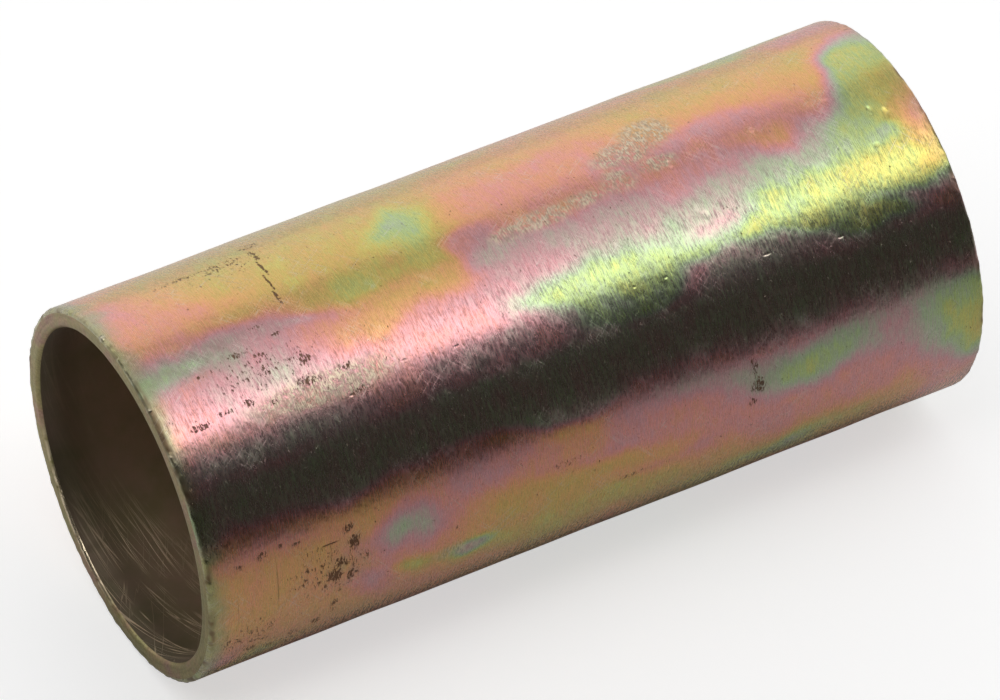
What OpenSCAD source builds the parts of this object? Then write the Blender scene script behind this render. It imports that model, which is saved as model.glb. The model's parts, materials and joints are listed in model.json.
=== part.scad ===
// Plain one-piece sleeve: a short steel tube with a straight through bore.
// The tube lies along X. The origin is the middle of the bore.
// Units are millimetres.

/* [Tube] */
// Diameter over the outside of the tube
outer_d = 28.6; // [27.5:0.1:40]
// Diameter of the straight through bore
bore_d = 25.5; // [12:0.1:25.5]
// Length from end face to end face
sleeve_l = 63.5; // [20:0.5:150]

/* [Edges] */
// Radius that rounds the outer corner of each end
outer_edge_r = 0.4; // [0.1:0.05:0.6]
// Leg of the 45 degree bevel that breaks the bore's corner at each end
bore_bevel = 0.25; // [0.05:0.05:0.35]

/* [Hidden] */
$fn = 128;
// How far a cutter runs past the surface it cuts
overcut = 0.5;
outer_r = outer_d / 2;
bore_r = bore_d / 2;
wall = outer_r - bore_r;
half_l = sleeve_l / 2;
zinc_gold = [0.74, 0.62, 0.40];

// Half section of the wall: x is the radius and y runs along the tube.
module wall_section() {
    union() {
        translate([bore_r, -half_l])
            square([wall - outer_edge_r, sleeve_l]);
        translate([bore_r, -half_l + outer_edge_r])
            square([wall, sleeve_l - 2 * outer_edge_r]);
        for (end = [-1, 1])
            translate([outer_r - outer_edge_r, end * (half_l - outer_edge_r)])
                circle(r = outer_edge_r, $fn = 48);
    }
}

// Cone that breaks the bore's corner at one end: end is -1 or 1 along the tube.
module bevel_cutter(end) {
    rotate([end < 0 ? 180 : 0, 0, 0])
        translate([0, 0, half_l - bore_bevel])
            cylinder(h = bore_bevel + overcut, r1 = bore_r, r2 = bore_r + bore_bevel + overcut);
}

// The tube stands on Z while it is drawn, and is then laid along X.
module sleeve() {
    color(zinc_gold)
        rotate([0, 90, 0])
            difference() {
                rotate_extrude() wall_section();
                for (end = [-1, 1]) bevel_cutter(end);
            }
}

sleeve();
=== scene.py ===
"""Looks of the plain sleeve: a turned steel tube with a yellow zinc passivate, lying on a pale floor.

Lengths in the tables below are millimetres and angles are degrees, because the sleeve is small.
Everything that Blender gets is in metres, in the row frame: X runs along the bore and Z is up.
"Roll" is the angle round the tube: 0 on top, 90 on the side towards -Y, 180 underneath.
The end at -X is the near end, because the camera stands on that side.
"""

import json
import math

import bpy
import numpy as np
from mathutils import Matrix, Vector


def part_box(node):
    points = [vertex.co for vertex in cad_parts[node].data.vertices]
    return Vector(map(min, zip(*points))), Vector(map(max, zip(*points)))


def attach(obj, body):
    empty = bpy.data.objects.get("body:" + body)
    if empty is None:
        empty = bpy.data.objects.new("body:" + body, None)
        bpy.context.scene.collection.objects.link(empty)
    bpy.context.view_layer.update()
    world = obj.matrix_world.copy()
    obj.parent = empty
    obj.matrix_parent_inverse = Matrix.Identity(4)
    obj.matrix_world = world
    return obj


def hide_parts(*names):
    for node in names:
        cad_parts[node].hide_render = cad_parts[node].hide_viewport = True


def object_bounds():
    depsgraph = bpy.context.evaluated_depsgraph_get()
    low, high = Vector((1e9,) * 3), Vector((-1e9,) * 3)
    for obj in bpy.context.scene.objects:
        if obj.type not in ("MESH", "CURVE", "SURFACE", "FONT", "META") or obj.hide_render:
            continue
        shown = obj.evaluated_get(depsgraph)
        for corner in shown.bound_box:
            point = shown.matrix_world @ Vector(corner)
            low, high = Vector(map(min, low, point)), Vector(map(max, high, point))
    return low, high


MM = 0.001

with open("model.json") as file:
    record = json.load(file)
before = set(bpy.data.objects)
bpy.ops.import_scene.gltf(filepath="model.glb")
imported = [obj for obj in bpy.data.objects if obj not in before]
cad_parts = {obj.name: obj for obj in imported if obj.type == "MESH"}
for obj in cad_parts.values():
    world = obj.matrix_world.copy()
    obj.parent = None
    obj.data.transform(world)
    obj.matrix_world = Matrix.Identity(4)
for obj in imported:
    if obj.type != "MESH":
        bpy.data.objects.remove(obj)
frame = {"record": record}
cad_low, cad_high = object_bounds()
node_low, node_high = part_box("sleeve")
mounts = {m["name"]: m["dims"] for m in frame["record"]["mounts"]}

# Driving sizes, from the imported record.
OUTER_R = mounts["outside"]["r_mm"]
BORE_R = mounts["bore"]["r_mm"]
HALF_L = (node_high.x - node_low.x) / 2 / MM
OUTER_ROUND = HALF_L - mounts["outside"]["length_mm"] / 2
BORE_BEVEL = HALF_L - mounts["bore"]["length_mm"] / 2


# ------------------------------------------------------------------ shape of the sleeve

SEGMENTS = 360
OUTER_RINGS = 208
BORE_RINGS = 34
ROUND_STEPS = 5
FACE_STEPS = 5
BEVEL_STEPS = 2

# Material slots on the mesh.
OUTSIDE = 0
END_FACE = 1
BORE = 2


def wall_profile():
    """Outline of the wall, once round it: rows of x, radius, normal along x, normal outward, and slot."""
    rows = []
    flat = HALF_L - OUTER_ROUND
    bore_flat = HALF_L - BORE_BEVEL
    face_out = OUTER_R - OUTER_ROUND
    face_in = BORE_R + BORE_BEVEL
    diagonal = math.sqrt(0.5)
    for x in np.linspace(-flat, flat, OUTER_RINGS):
        rows.append((x, OUTER_R, 0.0, 1.0, OUTSIDE))
    for turn in np.linspace(0.0, math.pi / 2, ROUND_STEPS + 1)[1:]:
        along = math.sin(turn)
        outward = math.cos(turn)
        rows.append((flat + OUTER_ROUND * along, face_out + OUTER_ROUND * outward, along, outward, OUTSIDE))
    for r in np.linspace(face_out, face_in, FACE_STEPS + 1)[1:]:
        rows.append((HALF_L, r, 1.0, 0.0, END_FACE))
    for cut in np.linspace(0.0, BORE_BEVEL, BEVEL_STEPS + 1)[1:-1]:
        rows.append((HALF_L - cut, face_in - cut, diagonal, -diagonal, END_FACE))
    far_end = rows[OUTER_RINGS:]
    for x in np.linspace(bore_flat, -bore_flat, BORE_RINGS):
        rows.append((x, BORE_R, 0.0, -1.0, BORE))
    for x, r, along, outward, slot in reversed(far_end):
        rows.append((-x, r, -along, outward, slot))
    return np.array(rows)


# Shallow waves that straightening and grinding leave outside: length along X, turns round, height, offset.
WAVES = [
    (23, 2, 0.014, 0.4),
    (11, 3, 0.008, 2.1),
    (8.5, -5, 0.006, 4.0),
    (6.1, 4, 0.004, 1.3),
    (14.7, -3, 0.007, 5.2),
]
# The outside sits this far in, so that no wave stands out of the tube's true size.
WAVE_ROOM = sum(row[2] for row in WAVES)

# Knocks in the outside: x, roll, half length, half width round the tube, depth.
# Where one has a sharp nick in it, the nick is in NICKS.
DENTS = [
    (28.1, 14, 0.45, 0.55, 0.07),
    (28.8, 17, 0.40, 0.60, 0.08),
    (12.3, 25, 0.60, 0.50, 0.05),
    (11.9, 6, 0.45, 0.35, 0.05),
    (12.6, 79, 0.60, 0.60, 0.06),
    (-19.6, 78, 0.50, 0.70, 0.05),
    (-20.6, 87, 0.60, 0.80, 0.05),
    (24.6, 4, 0.40, 0.40, 0.04),
    (-9.5, -70, 0.70, 0.50, 0.06),
    (15.0, -120, 0.60, 0.80, 0.06),
    (-23.0, 160, 0.80, 0.60, 0.06),
    (6.0, 150, 0.50, 0.50, 0.05),
]

# How ragged the outer corners are, how much finer rag the near one and the far end's bevel have,
# and how far the faces are from flat.
COARSE_RAG = 0.14
FINE_RAG = 0.06
FACE_DISH = 0.015

# How far along the tube the crumbs of burr reach from the near end's face.
CRUMB_REACH = 0.5

# Crumbs of burr on the near end's edges: roll, radius, size, height.
CRUMBS = [
    (-8, OUTER_R - 0.25, 0.30, 0.28),
    (22, OUTER_R - 0.25, 0.25, 0.14),
    (37, OUTER_R - 0.22, 0.22, 0.15),
    (64, OUTER_R - 0.25, 0.25, 0.12),
    (-150, BORE_R + 0.10, 0.30, 0.12),
    (-163, BORE_R + 0.08, 0.25, 0.12),
    (-172, BORE_R + 0.10, 0.30, 0.10),
    (170, BORE_R + 0.08, 0.22, 0.10),
    (118, OUTER_R - 0.20, 0.25, 0.12),
]


def bump_at(distance):
    """1 in the middle of a knock and 0 from its edge on."""
    inside = np.clip(1.0 - distance, 0.0, 1.0)
    return inside * inside * (3.0 - 2.0 * inside)


def arc_gap(roll, centre):
    """How far a roll is from another one, in millimetres round the outside."""
    return ((roll - centre + 180.0) % 360.0 - 180.0) * math.radians(1.0) * OUTER_R


def wavy(roll, seed, turns):
    """A closed, gently uneven curve round the tube, from -1 to 1: a few sine waves with seeded offsets."""
    offsets = np.random.default_rng(seed).uniform(0, 2 * math.pi, len(turns))
    return sum(np.sin(n * np.radians(roll) + o) for n, o in zip(turns, offsets)) / len(turns)


def wave_height(x, roll):
    total = 0.0
    for length, turns, height, offset in WAVES:
        total = total + height * np.sin(2 * math.pi * x / length + turns * np.radians(roll) + offset)
    return total


def knock_depth(x, roll):
    total = 0.0
    for at, centre, half_x, half_arc, depth in DENTS:
        total = total + depth * bump_at(np.hypot((x - at) / half_x, arc_gap(roll, centre) / half_arc))
    return total


def crumb_height(x, r, along, roll):
    total = 0.0
    for centre, at_r, size, height in CRUMBS:
        total = total + height * bump_at(np.hypot((r - at_r) / size, arc_gap(roll, centre) / size))
    near_end = x < -HALF_L + CRUMB_REACH
    faces_along = np.abs(along) > 0.1
    return total * near_end * faces_along


def shaped(x, r, along, outward, slot, roll):
    """The profile's points with the small unevenness of a real, used part."""
    outside = slot == OUTSIDE
    faces_outward = outside * (np.abs(along) < 0.5)
    outer_corner = outside * np.abs(along) * np.clip(outward, 0, 1)
    # The two parts of the normal have opposite signs on the near outer corner and on the far bevel.
    finely_ragged = along * outward < -0.2
    shift = (wave_height(x, roll) - knock_depth(x, roll)) * faces_outward - WAVE_ROOM * outside
    shift = shift + outer_corner * COARSE_RAG * wavy(roll, 5, [3, 7, 17, 31, 53, 83])
    shift = shift + finely_ragged * FINE_RAG * wavy(roll, 8, [5, 12, 23, 41, 67, 97])
    shift = shift + crumb_height(x, r, along, roll)
    dish = FACE_DISH * (wavy(roll, 11, [1, 2, 3, 9]) - 1.0)
    new_x = x + shift * along + (slot == END_FACE) * dish * np.sign(x)
    new_r = r + shift * outward
    return np.clip(new_x, -HALF_L, HALF_L), new_r


def build_skin():
    """The whole surface of the tube as one closed mesh: the profile turned once round the bore."""
    rows = wall_profile()
    count = len(rows)
    roll = np.tile(np.arange(SEGMENTS) * 360.0 / SEGMENTS, count)
    x, r, along, outward, slot = (np.repeat(rows[:, k], SEGMENTS) for k in range(5))
    x, r = shaped(x, r, along, outward, slot, roll)
    turn = np.radians(roll)
    points = np.stack([x, -r * np.sin(turn), r * np.cos(turn)], axis=1) * MM
    ring = np.repeat(np.arange(count), SEGMENTS)
    step = np.tile(np.arange(SEGMENTS), count)
    next_ring = (ring + 1) % count
    next_step = (step + 1) % SEGMENTS
    quads = np.stack([ring * SEGMENTS + step, ring * SEGMENTS + next_step,
                      next_ring * SEGMENTS + next_step, next_ring * SEGMENTS + step], axis=1)
    mesh = bpy.data.meshes.new("sleeve_skin")
    mesh.from_pydata(points.tolist(), [], quads.tolist())
    slots = rows[:, 4].astype(int)
    band_slots = np.where(slots == np.roll(slots, -1), slots, END_FACE)
    mesh.polygons.foreach_set("material_index", np.repeat(band_slots, SEGMENTS).tolist())
    mesh.polygons.foreach_set("use_smooth", [True] * len(mesh.polygons))
    mesh.update()
    skin = bpy.data.objects.new("sleeve_skin", mesh)
    bpy.context.scene.collection.objects.link(skin)
    return skin


# ------------------------------------------------------------------ node helper

# The part of its size over which an oval from a table keeps its full strength.
SPOT_CORE = 0.2


class Tree:
    """Short calls for building a node tree. A value is a number, a colour, a vector or a node's socket."""

    def __init__(self, owner):
        owner.use_nodes = True
        self.tree = owner.node_tree
        self.tree.nodes.clear()

    def put(self, socket, value):
        if isinstance(value, bpy.types.NodeSocket):
            self.tree.links.new(value, socket)
        else:
            socket.default_value = value

    def node(self, kind, inputs=None, **settings):
        made = self.tree.nodes.new(kind)
        for name, value in settings.items():
            setattr(made, name, value)
        for key, value in (inputs or {}).items():
            self.put(made.inputs[key], value)
        return made

    def math(self, operation, a, b=0.0):
        return self.node("ShaderNodeMath", {0: a, 1: b}, operation=operation).outputs[0]

    def add(self, *terms):
        total = terms[0]
        for term in terms[1:]:
            total = self.math("ADD", total, term)
        return total

    def times(self, a, b):
        return self.math("MULTIPLY", a, b)

    def largest(self, *terms):
        total = terms[0]
        for term in terms[1:]:
            total = self.math("MAXIMUM", total, term)
        return total

    def vector(self, operation, a, b):
        return self.node("ShaderNodeVectorMath", {0: a, 1: b}, operation=operation).outputs[0]

    def combine(self, x, y, z):
        return self.node("ShaderNodeCombineXYZ", {0: x, 1: y, 2: z}).outputs[0]

    def split(self, vector):
        return self.node("ShaderNodeSeparateXYZ", {0: vector}).outputs

    def noise(self, place, stretch, detail=2.0, roughness=0.5, distortion=0.0, colour=False):
        """Noise of about one feature per unit of place times stretch, which is a number or a vector."""
        if not isinstance(stretch, tuple):
            stretch = (stretch,) * 3
        scaled = self.vector("MULTIPLY", place, stretch)
        inputs = {"Vector": scaled, "Scale": 1.0, "Detail": detail, "Roughness": roughness,
                  "Distortion": distortion}
        return self.node("ShaderNodeTexNoise", inputs).outputs["Color" if colour else "Fac"]

    def span(self, value, low, high, to_low=0.0, to_high=1.0, smooth=False):
        """The value's way from low to high, laid over another range, and held at its ends."""
        kind = "SMOOTHSTEP" if smooth else "LINEAR"
        inputs = {"Value": value, "From Min": low, "From Max": high, "To Min": to_low, "To Max": to_high}
        return self.node("ShaderNodeMapRange", inputs, interpolation_type=kind).outputs[0]

    def mix(self, factor, a, b, blend="MIX"):
        made = self.node("ShaderNodeMix", data_type="RGBA", blend_type=blend)
        for socket, value in ((0, factor), (6, a), (7, b)):
            self.put(made.inputs[socket], value)
        return made.outputs[2]

    def shaded(self, colour, factor):
        """The colour times a factor."""
        return self.mix(1.0, colour, self.combine(factor, factor, factor), "MULTIPLY")

    def between(self, factor, a, b):
        """A number on the way from a to b."""
        made = self.node("ShaderNodeMix", data_type="FLOAT")
        for socket, value in ((0, factor), (2, a), (3, b)):
            self.put(made.inputs[socket], value)
        return made.outputs[0]

    def ramp(self, value, stops):
        made = self.node("ShaderNodeValToRGB", {0: value})
        elements = made.color_ramp.elements
        while len(elements) < len(stops):
            elements.new(1.0)
        for element, (at, colour) in zip(elements, stops):
            element.position = at
            element.color = (*colour, 1.0)
        return made.outputs[0]

    def spot(self, place, at, half, core=0.0):
        """1 inside a soft-edged oval, 0 outside it. Core is the part of its size over which it stays 1."""
        gap = self.vector("SUBTRACT", place, (*at, 0.0))
        shares = self.vector("MULTIPLY", gap, (1.0 / half[0], 1.0 / half[1], 0.0))
        length = self.node("ShaderNodeVectorMath", {0: shares}, operation="LENGTH").outputs["Value"]
        return self.span(length, 1.0, core, smooth=True)

    def spots(self, place, table):
        """The strongest of several ovals, each a row of x, roll, half length, half arc and strength."""
        total = 0.0
        for x, roll, half_x, half_arc, strength in table:
            oval = self.spot(place, (x, roll), (half_x, half_arc), SPOT_CORE)
            total = self.math("MAXIMUM", total, self.times(oval, strength))
        return total

    def bump(self, relief, strength=1.0):
        """A normal from rows of a mask and its height in millimetres."""
        height = self.add(*(self.times(mask, share) for mask, share in relief))
        inputs = {"Height": height, "Strength": strength, "Distance": MM}
        return self.node("ShaderNodeBump", inputs).outputs[0]

    def output(self, kind, shader):
        self.tree.links.new(shader, self.node(kind).inputs[0])

    def surface(self, inputs):
        """Ends a material in one Principled node."""
        self.output("ShaderNodeOutputMaterial", self.node("ShaderNodeBsdfPrincipled", inputs).outputs[0])


def tube_place(tree):
    """Where a surface point is: in millimetres, and as x in millimetres with the roll in degrees."""
    metres = tree.node("ShaderNodeTexCoord").outputs["Object"]
    mm = tree.node("ShaderNodeVectorMath", {0: metres, "Scale": 1 / MM}, operation="SCALE").outputs[0]
    x, y, z = tree.split(mm)
    turn = tree.math("ARCTAN2", tree.times(y, -1.0), z)
    return mm, tree.combine(x, tree.math("DEGREES", turn), 0.0)


def end_distance(tree, x):
    """How far a point is from the nearer end face, in millimetres."""
    return tree.math("SUBTRACT", HALF_L, tree.math("ABSOLUTE", x))


# ------------------------------------------------------------------ the plated outside

FRINGE_GREEN = (0.36, 0.48, 0.21, 1)
WORN_DARK = (0.46, 0.35, 0.24, 1)
WORN_LIGHT = (0.92, 0.79, 0.56, 1)
# Colour of the grime, which also paints shade below the highlight by the near end.
GRIME_AND_SHADE_BROWN = (0.38, 0.34, 0.25, 1)
# Colour of the rusty pits, and of the painted dark reflection along the end corners.
PIT_AND_EDGE_REFLECTION_BROWN = (0.21, 0.10, 0.05, 1)
BURR_PALE = (0.85, 0.78, 0.58, 1)
HAIR_PALE = (0.95, 0.90, 0.80, 1)

# The colours that light makes in the passivate as it gets thicker, once round from gold to gold.
FILM_COLOURS = [
    (0.00, (0.78, 0.54, 0.14)),
    (0.12, (0.91, 0.50, 0.17)),
    (0.24, (0.96, 0.43, 0.22)),
    (0.36, (0.93, 0.38, 0.33)),
    (0.46, (0.80, 0.39, 0.41)),
    (0.54, (0.70, 0.46, 0.43)),
    (0.62, (0.60, 0.56, 0.43)),
    (0.70, (0.51, 0.62, 0.38)),
    (0.78, (0.53, 0.67, 0.26)),
    (0.86, (0.67, 0.68, 0.19)),
    (0.94, (0.77, 0.63, 0.15)),
    (1.00, (0.78, 0.54, 0.14)),
]

# How strongly noise pushes the patches below about, in millimetres along x and degrees of roll.
PATCH_PUSH = (8.0, 14.0, 0.0)

# Where the passivate is thicker or thinner: x, roll, half length, half arc, core, and the colour there.
# The colour counts turns of the colours above, so 1.2 is salmon and 1.8 is green.
# A later row lies over an earlier one.
FILM_PATCHES = [
    # the broad fields along the top, from the near end to the far end
    (-14, -20, 26, 36, 0.5, 1.00),
    (-34, -14, 13, 22, 0.1, 1.42),
    (-27, -3, 10, 11, 0.0, 1.28),
    (11, -12, 17.5, 30, 0.8, 1.17),
    (4, -6, 10.5, 16, 0.5, 1.30),
    (18, -20, 14, 15, 0.2, 1.06),
    (16, 2, 15, 9, 0.1, 1.42),
    # pink, mauve and grey over the shoulder
    (-20, 28, 27, 18, 0.6, 1.40),
    (-24, 10, 10, 8, 0.1, 1.52),
    (-22, 24, 8, 15, 0.0, 1.56),
    (-30, 15, 5, 8, 0.0, 1.62),
    (-26.8, 15, 5.5, 5, 0.1, 1.72),
    (-27.2, 5.5, 5.0, 6, 0.0, 1.30),
    (-11, 19, 12, 10, 0.1, 1.16),
    (-10, 30, 10, 8, 0.0, 1.40),
    (8, 19, 21, 16, 0.3, 1.54),
    (-3.0, 8, 5, 9, 0.0, 1.44),
    (14, 13, 9, 6, 0.0, 1.44),
    (11, 24, 7, 8, 0.0, 1.64),
    (21, 22, 11, 11, 0.2, 1.67),
    # the steep step in the middle, with an olive hollow, a blue-green spot and an orange tail beside it
    (-12.5, 8, 8, 8, 0.2, 0.91),
    (-8.5, 17, 6.5, 7, 0.0, 1.08),
    (-8.2, -8, 3.6, 17, 0.0, 0.74),
    (-4.0, 8, 3.6, 9, 0.3, 1.42),
    (-2.6, 15, 4.5, 6, 0.1, 1.56),
    # green along the shoulder, with a pink gap
    (5, 35, 12, 14, 0.3, 1.77),
    (20, 34, 14, 12, 0.5, 1.80),
    (13.2, 31, 4.2, 9, 0.0, 1.55),
    # the far end: a leaning green band between a pink corner and a salmon edge
    (29.0, -34, 9, 16, 0.2, 1.34),
    (26.5, 14, 6.5, 13, 0.3, 1.78),
    (28.0, 29, 8.0, 11, 0.3, 1.88),
    (31.0, -1, 5.5, 25, 0.4, 1.83),
    (34.0, 13, 5.7, 20, 0.1, 2.36),
    (33.0, 20, 5.0, 16, 0.1, 2.34),
    (32.4, 36, 4.5, 9, 0.0, 2.15),
    # the dark band
    (-24, 44, 13, 8, 0.2, 1.57),
    (-6, 42, 9, 9, 0.2, 1.52),
    (0, 57, 60, 14, 0.5, 1.61),
    (24.5, 44, 7, 7, 0.2, 1.82),
    (15.5, 45, 7, 7, 0.2, 1.60),
    (5, 43, 7, 6, 0.2, 1.74),
    # the side towards the camera
    (-23, 92, 17, 26, 0.5, 1.16),
    (-27, 72, 12, 9, 0.0, 1.34),
    (-31, 112, 7, 13, 0.0, 1.40),
    (-16, 100, 7, 14, 0.0, 1.44),
    (-16, 84, 6, 12, 0.0, 1.64),
    (-9, 76, 9, 13, 0.2, 1.42),
    (12, 86, 23, 28, 0.5, 1.37),
    (-3, 77, 6, 8, 0.0, 1.24),
    (-2, 91, 14, 9, 0.1, 1.04),
    (-1, 104, 17, 11, 0.2, 0.96),
    (-10.6, 99, 6.0, 9, 0.1, 0.84),
    (-11.2, 98, 4.6, 6, 0.1, 0.60),
    (9, 73, 9, 8, 0.0, 1.54),
    (18, 79, 10, 15, 0.0, 1.78),
    (24, 78, 4, 12, 0.0, 1.50),
    (29.0, 84, 6.5, 28, 0.0, 1.82),
    (32.4, 88, 4.0, 26, 0.0, 1.92),
    (30, 116, 6, 10, 0.0, 1.34),
]

# Stained pits where the steel was rusty before plating: x, roll, half length, half arc, strength.
PITS = [
    (-17.6, -27, 1.4, 4, 0.85),
    (-18.0, -20, 0.35, 6, 1.0),
    (-18.3, -13, 0.18, 6.5, 1.4),
    (-18.7, -5, 0.16, 6.5, 1.4),
    (-18.9, 2, 0.22, 5.0, 1.2),
    (-21.5, -19, 1.6, 3, 0.78),
    (-24.0, -22, 3.5, 2, 0.7),
    (-28.8, 32.2, 1.4, 1.8, 0.86),
    (-26.5, 30.6, 0.9, 1.4, 0.84),
    (-24.8, 30.6, 0.8, 1.8, 0.95),
    (-23.1, 32.9, 0.5, 1.4, 0.84),
    (-20.0, 30.5, 1.9, 3.0, 0.80),
    (-19.5, 24.5, 1.0, 4.0, 0.78),
    (-23.8, 15.5, 1.2, 2.4, 0.84),
    (-22.5, 18.0, 1.0, 1.2, 0.84),
    (-27.3, 18.1, 0.3, 0.8, 1.05),
    (-20.5, 13.7, 0.9, 1.2, 0.80),
    (-21.8, 9.3, 1.2, 2.0, 0.76),
    (-17.1, 30.3, 1.2, 2.0, 0.76),
    (-16.5, 38.5, 1.8, 2.0, 0.74),
    (-29.0, 75.0, 0.8, 1.8, 0.8),
    (-27.4, 74.0, 1.0, 2.2, 1.0),
    (-25.8, 73.0, 0.4, 1.2, 0.6),
    (-24.6, 74.2, 0.6, 1.0, 0.8),
    (-20.4, 75.5, 0.8, 2.6, 1.0),
    (-20.1, 81.0, 0.7, 4.5, 1.2),
    (-21.4, 86.0, 0.7, 3.5, 1.0),
    (-21.8, 90.5, 1.1, 4.5, 1.2),
    (-20.5, 92.5, 0.7, 4.0, 1.1),
    (-21.5, 97.5, 0.5, 2.5, 0.9),
    (-21.7, 103.5, 0.5, 4.0, 0.9),
    (-28.2, 112, 0.9, 3, 0.9),
    (-26.4, 115, 0.6, 2, 1.0),
    (-24.8, 112, 0.8, 3, 0.6),
    (-23.0, 110, 0.7, 3, 0.9),
    (-21.8, 107, 0.5, 3, 0.7),
    (12.8, 81, 1.0, 5.5, 1.1),
    (12.3, 86, 0.7, 3, 0.95),
    (12.7, 74, 0.5, 5, 0.85),
    (2.5, 97, 2.0, 1.6, 0.7),
    (-22.0, 88, 5.5, 17, 0.5),
    (-28.5, 104, 4.5, 13, 0.5),
    (-20.5, -19, 5.5, 8, 0.48),
    (-22.5, 22, 8.0, 10, 0.36),
    (-3.0, 82, 2.0, 2, 0.6),
    (-14.0, -80, 1.5, 9, 0.9),
    (9.0, -110, 1.2, 6, 0.9),
    (20.0, 150, 2.0, 5, 0.9),
    (-5.0, 175, 2.5, 4, 0.8),
]

# Fine dark score lines: x, roll, half length, half arc, strength.
SCORES = [
    (-22.0, 78.5, 0.9, 0.35, 1.0),
    (-26.3, 86, 0.07, 13, 0.5),
    (-29.5, 90, 0.06, 9, 0.3),
    (8.0, -100, 0.08, 14, 0.5),
]

# Matt, scuffed places: x, roll, half length, half arc, strength.
SCUFFS = [
    (12.3, -8, 3.0, 9, 1.0),
    (9.8, -3, 3.6, 7, 1.0),
    (11.6, 5, 2.2, 4, 0.9),
    (8.2, 6, 2.0, 7, 0.7),
    (5.0, 8, 3.0, 4, 0.7),
    (1.6, 9, 3.4, 5, 1.0),
    (-1.2, 10, 2.4, 4, 0.9),
    (-19.0, 34, 8.0, 7, 0.9),
    (-12.0, 100, 2.5, 5, 0.5),
    (0.0, -95, 5.0, 12, 0.9),
    (-20.0, 165, 4.0, 10, 0.9),
    (22.0, -150, 3.0, 10, 0.8),
]

# Nicks in the outside: x, roll, half length, half arc, depth as a part of the deepest.
NICKS = [
    (27.9, 14.0, 0.28, 2.2, 1.0),
    (28.9, 16.5, 0.30, 2.4, 1.0),
    (12.3, 7.0, 0.25, 1.8, 0.9),
    (25.4, 4.1, 0.42, 1.8, 0.5),
    (19.2, 6.0, 0.30, 1.2, 0.5),
    (12.7, 26.5, 0.35, 1.8, 0.5),
    (27.0, 25.0, 0.35, 1.2, 0.4),
    (7.9, 39.3, 0.22, 0.7, 0.2),
    (5.4, 38.7, 0.16, 0.6, 0.25),
    (15.8, 43.5, 0.45, 0.6, 0.3),
    (21.6, 46.4, 0.35, 0.6, 0.4),
    (-12.8, 34.8, 0.28, 0.6, 0.15),
    (-17.5, 38.8, 0.20, 0.6, 0.3),
    (-8.8, 36.4, 0.32, 0.5, 0.15),
    (3.0, -60.0, 0.40, 2.0, 0.9),
    (-15.0, -140.0, 0.50, 2.0, 0.9),
]

# Burr left standing on the near end's outer corner: x, roll, half length, half arc, strength.
BURRS = [
    (-31.6, -8.0, 0.35, 1.5, 1.0),
    (-31.6, 22.0, 0.25, 0.8, 0.6),
    (-31.7, 37.0, 0.20, 1.0, 0.7),
    (-31.6, 118.0, 0.25, 1.2, 0.7),
]

# Greyish grime, and painted shade below the highlight by the near end in the first two rows: x, roll, half
# length, half arc, strength.
GRIME_AND_PAINTED_SHADE = [
    (-21.5, 38, 10, 8, 0.6),
    (-28.5, 42, 8, 10, 0.7),
    (-27.5, 13, 6, 9, 0.9),
    (-20.5, 88, 3, 14, 0.5),
    (14.0, 78, 3, 7, 0.4),
    (5.0, -130, 12, 20, 0.9),
]

# Half length of a band that keeps its strength from end to end.
WHOLE_LENGTH = 300.0

# Bands where the brushing is shallower: x, roll, half length, half arc, how much of the relief is missing.
CALM = [
    (0, -48, WHOLE_LENGTH, 16, 0.7),
    (0, 56, WHOLE_LENGTH, 12, 0.5),
    (0, 124, WHOLE_LENGTH, 22, 0.75),
]


def film_order(tree, mm, place):
    """How thick the passivate is, in turns of the colours: broad noise, then the patches over it."""
    drift = tree.noise(mm, 0.16, 1.0, 0.45, colour=True)
    centred = tree.vector("SUBTRACT", drift, (0.5, 0.5, 0.5))
    push = tree.vector("MULTIPLY", centred, PATCH_PUSH)
    moved = tree.vector("ADD", place, push)
    broad = tree.noise(mm, (0.055, 0.09, 0.09), 2.0)
    order = tree.span(broad, 0.25, 0.75, 0.7, 1.7)
    for x, roll, half_x, half_arc, core, target in FILM_PATCHES:
        patch = tree.spot(moved, (x, roll), (half_x, half_arc), core)
        order = tree.between(patch, order, target)
    return order


def film_colour(tree, mm, place, streak):
    """Colour of the clean passivate: its order with some mottling, looked up in the colours."""
    mottle = tree.noise(mm, (0.6, 0.4, 0.4), 3.0, 0.6)
    mottled = tree.span(mottle, 0.3, 0.7, -0.06, 0.06)
    streaked = tree.span(streak, 0.3, 0.7, -0.04, 0.04)
    order = tree.add(film_order(tree, mm, place), mottled, streaked)
    return tree.ramp(tree.math("FRACT", order), FILM_COLOURS)


def end_fringe(tree, mm, x, from_end):
    """The greener film beside an end face, which is strong at the near end and weak at the far one."""
    uneven = tree.span(tree.noise(mm, 0.5, 3.0), 0.3, 0.7, -0.5, 0.5)
    fringe = tree.span(tree.add(from_end, uneven), 2.0, 0.1, smooth=True)
    return tree.times(fringe, tree.span(x, -1.0, 1.0, 0.75, 0.25))


def brush_tone_and_painted_glints(tree, place, brushed, grain):
    """Light and dark along the brush lines, as a factor for the colour: faint all round, and deepened in
    the band along the shoulder into painted glints and shade where the highlight falls.
    """
    # The shoulder band is where the highlight lies; the extra depth there is painted glint and shade.
    shoulder = tree.spot(place, (0.0, 33.0), (WHOLE_LENGTH, 18.0), 0.2)
    depth = tree.add(0.10, tree.times(shoulder, 0.40))
    lines = tree.span(brushed, 0.7, 1.3, -1.0, 1.0)
    shade = tree.add(1.0, tree.times(lines, depth))
    return tree.times(shade, tree.span(grain, 0.3, 0.7, 0.94, 1.06))


def wear(tree, mm, place, fine):
    """Where the surface is worn matt, and the colour that it has there."""
    scuff = tree.spots(place, SCUFFS)
    crackle = tree.noise(mm, (2.6, 1.6, 1.6), 6.0, 0.75, 1.0)
    worn = tree.times(tree.span(crackle, 0.38, 0.56), tree.span(scuff, 0.0, 0.6))
    light = tree.span(tree.add(crackle, fine), 0.96, 1.10)
    return worn, tree.mix(light, WORN_DARK, WORN_LIGHT)


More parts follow.
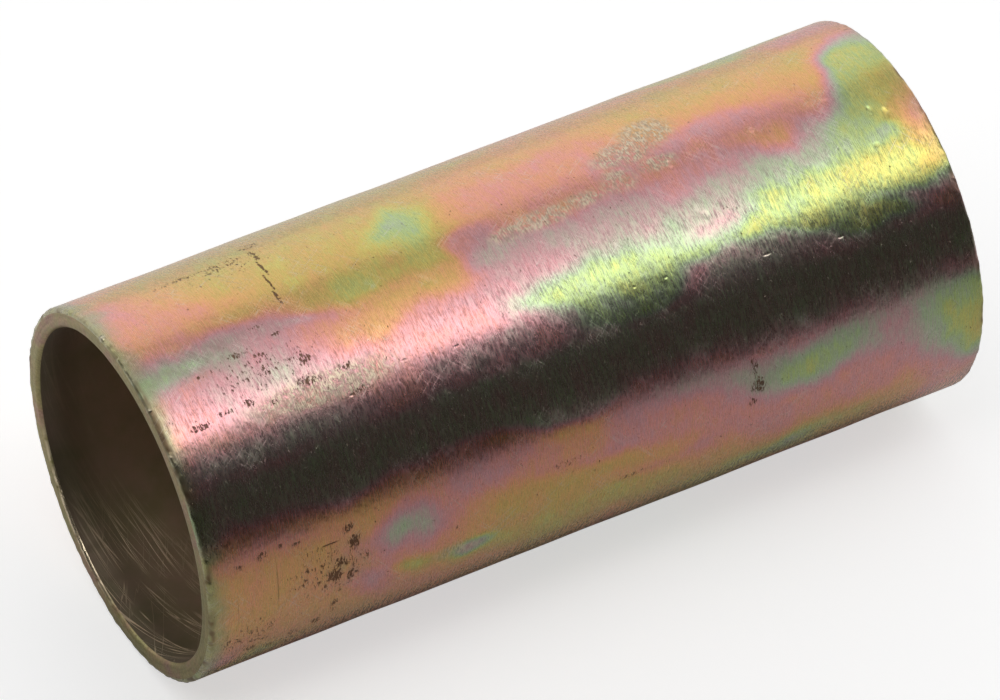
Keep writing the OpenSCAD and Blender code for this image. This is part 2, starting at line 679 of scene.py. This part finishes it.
def stains_and_painted_edge_reflection(tree, mm, place, grain, from_end):
    """Pits with rust in them, specks of dust, score lines, and a painted dark reflection along the corners
    by the end faces.
    """
    clump = tree.noise(mm, (1.4, 1.0, 1.0), 2.0)
    pitted = tree.add(grain, tree.times(tree.spots(place, PITS), 0.28), tree.times(clump, 0.35))
    dark_marks = tree.span(pitted, 0.86, 1.00, smooth=True)
    specks = tree.noise(mm, (4.0, 2.6, 2.6), 2.0, 0.6)
    dust = tree.times(tree.span(specks, 0.70, 0.78, smooth=True), 0.2)
    # A painted dark reflection: a broken dark line along the rounded corners by both end faces.
    corner = tree.span(from_end, 0.6, 0.2, smooth=True)
    broken_up = tree.span(tree.noise(mm, (0.5, 0.35, 0.35), 3.0, 0.6), 0.48, 0.60)
    painted_edge_reflection = tree.times(tree.times(corner, broken_up), 0.8)
    return tree.largest(dark_marks, dust, tree.spots(place, SCORES), painted_edge_reflection)


def hairlines(tree, place, lean, pitch, width):
    """Thin lines that lean, in degrees of roll per millimetre: the middle level of a stretched noise."""
    x, roll, _ = tree.split(place)
    across = tree.add(roll, tree.times(x, lean))
    stretched = tree.combine(tree.times(x, 0.12), tree.times(across, pitch), 0.0)
    level = tree.noise(stretched, 1.0, 2.0, 0.5)
    gap = tree.math("ABSOLUTE", tree.math("SUBTRACT", level, 0.5))
    return tree.span(gap, width, 0.0, smooth=True)


def light_hairs(tree, mm, place):
    """Fine light scratches that lean both ways, in patches."""
    patchy = tree.span(tree.noise(mm, 0.35, 3.0, 0.6), 0.46, 0.62)
    rising = hairlines(tree, place, 3.0, 0.5, 0.012)
    falling = hairlines(tree, place, -5.0, 0.5, 0.012)
    return tree.times(tree.largest(rising, falling), patchy)


def outside_material():
    """Outside: brushed round the tube, plated, and then stained, scuffed and scratched in use; its colour
    also holds painted glints on the shoulder, painted shade below the highlight by the near end, and a
    painted dark reflection along the end corners.
    """
    material = bpy.data.materials.new("yellow_zinc_outside")
    tree = Tree(material)
    mm, place = tube_place(tree)
    x = tree.split(place)[0]
    from_end = end_distance(tree, x)
    streak = tree.noise(mm, (7.0, 0.9, 0.9), 2.0, 0.6)
    fine = tree.noise(mm, (11.0, 1.9, 1.9), 2.0, 0.6)
    dimple = tree.noise(mm, (1.3, 1.0, 1.0), 3.0, 0.6)
    grain = tree.noise(mm, (7.5, 3.2, 3.2), 2.0, 0.6, 0.2)
    brushed = tree.add(streak, fine)
    worn, bare = wear(tree, mm, place, fine)
    # Pits, dust, score lines, and the painted dark reflection along the end corners.
    dark_marks = stains_and_painted_edge_reflection(tree, mm, place, grain, from_end)
    hair = light_hairs(tree, mm, place)
    nick = tree.spots(place, NICKS)
    burr = tree.spots(place, BURRS)
    cloud = tree.span(tree.noise(mm, (1.6, 1.0, 1.0), 3.0, 0.65), 0.3, 0.6)
    grime_and_painted_shade = tree.times(tree.spots(place, GRIME_AND_PAINTED_SHADE), cloud)

    colour = film_colour(tree, mm, place, streak)
    colour = tree.mix(end_fringe(tree, mm, x, from_end), colour, FRINGE_GREEN)
    # The brush lines' own tone, with painted glints and shade on the shoulder.
    colour = tree.shaded(colour, brush_tone_and_painted_glints(tree, place, brushed, grain))
    colour = tree.mix(tree.times(worn, 0.9), colour, bare)
    # Greyish grime, part of it painted shade below the highlight by the near end.
    colour = tree.mix(tree.times(grime_and_painted_shade, 0.7), colour, GRIME_AND_SHADE_BROWN)
    # Rust brown for the pits, dust and score lines, and for the painted dark reflection along the end
    # corners.
    colour = tree.mix(tree.times(dark_marks, 0.9), colour, PIT_AND_EDGE_REFLECTION_BROWN)
    colour = tree.mix(tree.times(burr, 0.7), colour, BURR_PALE)
    colour = tree.mix(tree.times(hair, 0.35), colour, HAIR_PALE)

    rough = tree.span(brushed, 0.95, 1.35, 0.26, 0.42)
    rough = tree.between(worn, rough, 0.42)
    rough = tree.between(dark_marks, rough, 0.6)
    coat = tree.between(dark_marks, 1.0, 0.3)
    relief = [(streak, 0.016), (fine, 0.008), (dimple, 0.022), (dark_marks, -0.04), (worn, 0.008),
              (hair, -0.004), (nick, -0.07), (burr, 0.08)]
    calm = tree.times(tree.spots(place, CALM), -1.0)
    normal = tree.bump(relief, tree.add(1.0, calm))
    tangent = tree.node("ShaderNodeTangent", direction_type="RADIAL", axis="X").outputs[0]
    tree.surface({
        "Base Color": colour, "Metallic": 1.0, "Roughness": rough, "Anisotropic": 0.8,
        "Anisotropic Rotation": 0.25, "Tangent": tangent, "Normal": normal,
        "Coat Weight": coat, "Coat IOR": 1.55, "Coat Roughness": 0.4, "Coat Normal": normal})
    return material


# ------------------------------------------------------------------ the end faces and the bore

FACE_COLOURS = [
    (0.32, (0.42, 0.38, 0.18)),
    (0.50, (0.46, 0.38, 0.19)),
    (0.60, (0.50, 0.35, 0.22)),
    (0.68, (0.50, 0.31, 0.24)),
]
FACE_STAIN = (0.16, 0.12, 0.07, 1)
# Colour of the painted glint along the bore's edge.
PAINTED_GLINT_GOLD = (0.95, 0.80, 0.56, 1)
# The painted glint fades out from the second radius to the first.
PAINTED_GLINT_RADII = (BORE_R + 0.32, BORE_R + 0.18)

# Where a painted glint lies along the bore's edge: x, roll, half length, half arc, strength.
PAINTED_GLINT_SPOTS = [
    (-32, -140, 6, 45, 1.0),
    (32, 120, 6, 40, 0.8),
]


def face_material():
    """End faces: faced square on a lathe, so their marks are rings, under a thin olive film, with a painted
    glint along part of the bore's edge.
    """
    material = bpy.data.materials.new("yellow_zinc_end_face")
    tree = Tree(material)
    mm, place = tube_place(tree)
    _, y, z = tree.split(mm)
    radius = tree.math("SQRT", tree.add(tree.times(y, y), tree.times(z, z)))
    ring_place = tree.combine(tree.times(radius, 5.0), tree.times(y, 0.25), tree.times(z, 0.25))
    rings = tree.noise(ring_place, 1.0, 3.0, 0.6)
    specks = tree.noise(mm, 5.0, 2.0)
    grain = tree.noise(mm, 2.4, 3.0, 0.65)
    dark_spots = tree.span(grain, 0.62, 0.74, smooth=True)
    by_bore = tree.span(radius, *PAINTED_GLINT_RADII, smooth=True)
    ragged = tree.span(tree.noise(mm, 0.7, 3.0, 0.6), 0.40, 0.52)
    painted_glint = tree.times(tree.times(by_bore, ragged), tree.spots(place, PAINTED_GLINT_SPOTS))

    colour = tree.ramp(tree.noise(mm, 0.30, 3.0, 0.6), FACE_COLOURS)
    ring_shade = tree.span(rings, 0.3, 0.7, 0.80, 1.10)
    speck_shade = tree.span(specks, 0.3, 0.7, 0.86, 1.14)
    colour = tree.shaded(colour, tree.times(ring_shade, speck_shade))
    colour = tree.mix(tree.times(dark_spots, 0.6), colour, FACE_STAIN)
    # A painted glint along the bore's edge, which is also smoother there.
    colour = tree.mix(painted_glint, colour, PAINTED_GLINT_GOLD)
    rough = tree.between(painted_glint, tree.span(grain, 0.3, 0.7, 0.36, 0.5), 0.25)
    normal = tree.bump([(rings, 0.03), (dark_spots, -0.03), (grain, 0.03)])
    tree.surface({"Base Color": colour, "Metallic": 1.0, "Roughness": rough, "Normal": normal})
    return material


BORE_COLOURS = [
    (0.35, (0.29, 0.24, 0.14)),
    (0.50, (0.34, 0.26, 0.17)),
    (0.65, (0.38, 0.27, 0.19)),
]
SCRATCH_GOLD = (0.95, 0.74, 0.50, 1)

# Where fitting a pin has scratched the bore: x, degrees from the bottom, half length, half arc, strength.
SCRATCHED = [
    (-28, -4, 9, 60, 1.0),
    (26, 10, 8, 70, 0.8),
]


def bore_place(tree):
    """Where a point of the bore is: in millimetres, as x alone, and as x with degrees from the bottom."""
    mm, _ = tube_place(tree)
    x, y, z = tree.split(mm)
    turn = tree.math("ARCTAN2", y, tree.times(z, -1.0))
    return mm, x, tree.combine(x, tree.math("DEGREES", turn), 0.0)


def bore_scratches(tree, mm, place):
    """Long thin scratches, most of them steep and nearly side by side, and a few that cross them."""
    steep = hairlines(tree, place, 34.0, 0.05, 0.016)
    less_steep = hairlines(tree, place, 17.0, 0.08, 0.014)
    crossing = tree.times(hairlines(tree, place, -9.0, 0.10, 0.010), 0.5)
    broken = tree.span(tree.noise(mm, 0.25, 2.0), 0.38, 0.56)
    lines = tree.times(tree.largest(steep, less_steep, crossing), broken)
    return tree.times(lines, tree.add(tree.spots(place, SCRATCHED), 0.06))


def bore_material():
    """Bore: drawn steel that the plating hardly reaches, dark brown, with scratches from fitting; its
    colour has painted shade near the mouths and is lighter further in.
    """
    material = bpy.data.materials.new("dark_plated_bore")
    tree = Tree(material)
    mm, x, place = bore_place(tree)
    depth = end_distance(tree, x)
    # Painted shade within a few millimetres of each mouth, and a lighter colour further in.
    painted_shade_by_mouth = tree.span(depth, 0.3, 3.5, 0.45, 1.0)
    further_in = tree.span(depth, 3.0, 7.0, 1.0, 1.45)
    scratches = bore_scratches(tree, mm, place)
    grain = tree.noise(mm, (0.5, 2.5, 2.5), 3.0)
    colour = tree.ramp(tree.noise(mm, 0.22, 4.0, 0.6), BORE_COLOURS)
    colour = tree.shaded(colour, tree.times(painted_shade_by_mouth, further_in))
    colour = tree.mix(tree.times(scratches, 0.9), colour, SCRATCH_GOLD)
    normal = tree.bump([(scratches, -0.02), (grain, 0.015)])
    tree.surface({"Base Color": colour, "Metallic": 0.7, "Roughness": 0.55, "Normal": normal})
    return material


# ------------------------------------------------------------------ studio

TENT_R = 0.40
TENT_X = (-0.45, 0.85)
TENT_STEP = 2
# Its pattern leans by this many degrees for each metre along X away from this place.
TENT_LEAN = 20.0
TENT_CENTRE = 0.147
# Brightness of the tent by the angle round the sleeve: -90 is behind at floor level, 0 is overhead.
TENT_LIGHT = [
    (-90, 0.80), (-50, 0.80), (-40, 0.74), (-34, 0.36), (-26, 0.46), (-20, 0.52), (-8, 0.70), (4, 0.92),
    (14, 1.22), (20, 1.65), (24, 2.25), (27, 1.85), (31, 0.45), (36, 0.10), (42, 0.06), (54, 0.04),
]
# How pale the floor looks in the plating: metres in front of (-) or behind the sleeve's axis, grey level.
FLOOR_TONE = [(-0.30, 0.45), (-0.06, 0.50), (-0.03, 0.62), (0.0, 0.75), (0.03, 0.92), (0.30, 0.98)]
FLOOR_HALF = 3.0
# The floor as the camera sees it: a grey that shows the shadow, lifted to nearly white.
FLOOR_GREY = (0.65, 0.65, 0.65, 1)
FLOOR_LIFT = 0.6
FLAG_Y = -0.125
FLAG_TOP = 0.10
FLAG_HALF = 1.5
WHITE = (1, 1, 1, 1)
# What the plating sees where the room is dark, and what the camera sees behind the floor.
DARK = 0.034
ROOM_TINT = (1.0, 0.88, 0.74, 1)
BACKDROP = 0.95


def stage_sheet(name, points, faces):
    mesh = bpy.data.meshes.new(name)
    mesh.from_pydata(points, [], faces)
    mesh.update()
    sheet = bpy.data.objects.new(name, mesh)
    bpy.context.scene.collection.objects.link(sheet)
    sheet.data.materials.append(bpy.data.materials.new(name + "_surface"))
    return sheet


def ramp_stops(table, brightest=1.0):
    """A table of places and grey levels as ramp stops from 0 to 1."""
    low = table[0][0]
    high = table[-1][0]
    return [((at - low) / (high - low), (level / brightest,) * 3) for at, level in table]


def build_tent():
    """A curved softbox over and behind the sleeve: the plating reflects it, the camera doesn't see it."""
    angles = np.radians(np.arange(TENT_LIGHT[0][0], TENT_LIGHT[-1][0] + 1, TENT_STEP))
    points = [(x, -TENT_R * math.sin(a), TENT_R * math.cos(a)) for x in TENT_X for a in angles]
    n = len(angles)
    tent = stage_sheet("tent", points, [(i, i + 1, n + i + 1, n + i) for i in range(n - 1)])
    tent.visible_camera = False
    tree = Tree(tent.data.materials[0])
    x, y, z = tree.split(tree.node("ShaderNodeTexCoord").outputs["Object"])
    angle = tree.math("DEGREES", tree.math("ARCTAN2", tree.times(y, -1.0), z))
    brightest = max(level for _, level in TENT_LIGHT)
    lean = tree.times(tree.math("SUBTRACT", x, TENT_CENTRE), TENT_LEAN)
    leaning = tree.math("SUBTRACT", angle, lean)
    share = tree.span(leaning, TENT_LIGHT[0][0], TENT_LIGHT[-1][0])
    level = tree.ramp(share, ramp_stops(TENT_LIGHT, brightest))
    glow = tree.node("ShaderNodeEmission", {"Color": level, "Strength": brightest})
    tree.output("ShaderNodeOutputMaterial", glow.outputs[0])


def build_floor():
    """The floor, which the camera sees nearly white, and the plating sees darker towards the camera."""
    half = FLOOR_HALF
    z = cad_low.z
    points = [(-half, -half, z), (half, -half, z), (half, half, z), (-half, half, z)]
    floor = stage_sheet("floor", points, [(0, 1, 2, 3)])
    tree = Tree(floor.data.materials[0])
    y = tree.split(tree.node("ShaderNodeTexCoord").outputs["Object"])[1]
    tone = tree.ramp(tree.span(y, FLOOR_TONE[0][0], FLOOR_TONE[-1][0]), ramp_stops(FLOOR_TONE))
    reflected = tree.node("ShaderNodeBsdfDiffuse", {"Color": tone}).outputs[0]
    pale = tree.node("ShaderNodeBsdfDiffuse", {"Color": FLOOR_GREY}).outputs[0]
    glow = tree.node("ShaderNodeEmission", {"Color": WHITE, "Strength": FLOOR_LIFT}).outputs[0]
    lifted = tree.node("ShaderNodeAddShader", {0: pale, 1: glow}).outputs[0]
    seen = tree.node("ShaderNodeLightPath").outputs["Is Camera Ray"]
    surface = tree.node("ShaderNodeMixShader", {0: seen, 1: reflected, 2: lifted})
    tree.output("ShaderNodeOutputMaterial", surface.outputs[0])


def build_flag():
    """A dark card on the floor towards the camera, which hides the far floor from the sleeve's side."""
    low = cad_low.z
    high = FLAG_TOP
    corners = [(-FLAG_HALF, low), (FLAG_HALF, low), (FLAG_HALF, high), (-FLAG_HALF, high)]
    points = [(x, FLAG_Y, z) for x, z in corners]
    flag = stage_sheet("flag", points, [(0, 1, 2, 3)])
    flag.visible_camera = False
    flag.visible_diffuse = False
    tree = Tree(flag.data.materials[0])
    glow = tree.node("ShaderNodeEmission", {"Color": ROOM_TINT, "Strength": DARK})
    tree.output("ShaderNodeOutputMaterial", glow.outputs[0])


def build_world():
    """The room: pale behind the object, and dark where the plating looks towards the camera's side."""
    world = bpy.data.worlds.new("studio")
    bpy.context.scene.world = world
    tree = Tree(world)
    seen = tree.node("ShaderNodeLightPath").outputs["Is Camera Ray"]
    colour = tree.mix(seen, ROOM_TINT, WHITE)
    strength = tree.between(seen, DARK, BACKDROP)
    back = tree.node("ShaderNodeBackground", {"Color": colour, "Strength": strength})
    tree.output("ShaderNodeOutputWorld", back.outputs[0])


# The camera stands to the left and above, a long way off behind a long lens.
VIEW_AZIMUTH = -28.7
VIEW_ELEVATION = 44.27
VIEW_DISTANCE = 0.726
VIEW_LENS = 360.6
SENSOR_WIDTH = 36.0
CLIP_START = 0.01
CLIP_END = 50.0
# How far the camera is moved across its own view, to put the sleeve where the photograph has it.
AIM_RIGHT = -0.00057
AIM_UP = -0.00018


def build_camera():
    azimuth = math.radians(VIEW_AZIMUTH)
    elevation = math.radians(VIEW_ELEVATION)
    level = math.cos(elevation)
    towards_camera = Vector((math.sin(azimuth) * level, -math.cos(azimuth) * level, math.sin(elevation)))
    turn = (-towards_camera).to_track_quat("-Z", "Y")
    data = bpy.data.cameras.new("camera")
    data.lens = VIEW_LENS
    data.sensor_width = SENSOR_WIDTH
    data.clip_start = CLIP_START
    data.clip_end = CLIP_END
    camera = bpy.data.objects.new("camera", data)
    camera.rotation_mode = "QUATERNION"
    camera.rotation_quaternion = turn
    camera.location = towards_camera * VIEW_DISTANCE + turn @ Vector((AIM_RIGHT, AIM_UP, 0.0))
    bpy.context.scene.collection.objects.link(camera)
    bpy.context.scene.camera = camera


# ------------------------------------------------------------------ scene

build_camera()
build_world()
build_tent()
build_floor()
build_flag()
bpy.context.scene.view_settings.view_transform = "Standard"

skin = build_skin()
for finish in (outside_material(), face_material(), bore_material()):
    skin.data.materials.append(finish)
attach(skin, "root")
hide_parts("sleeve")
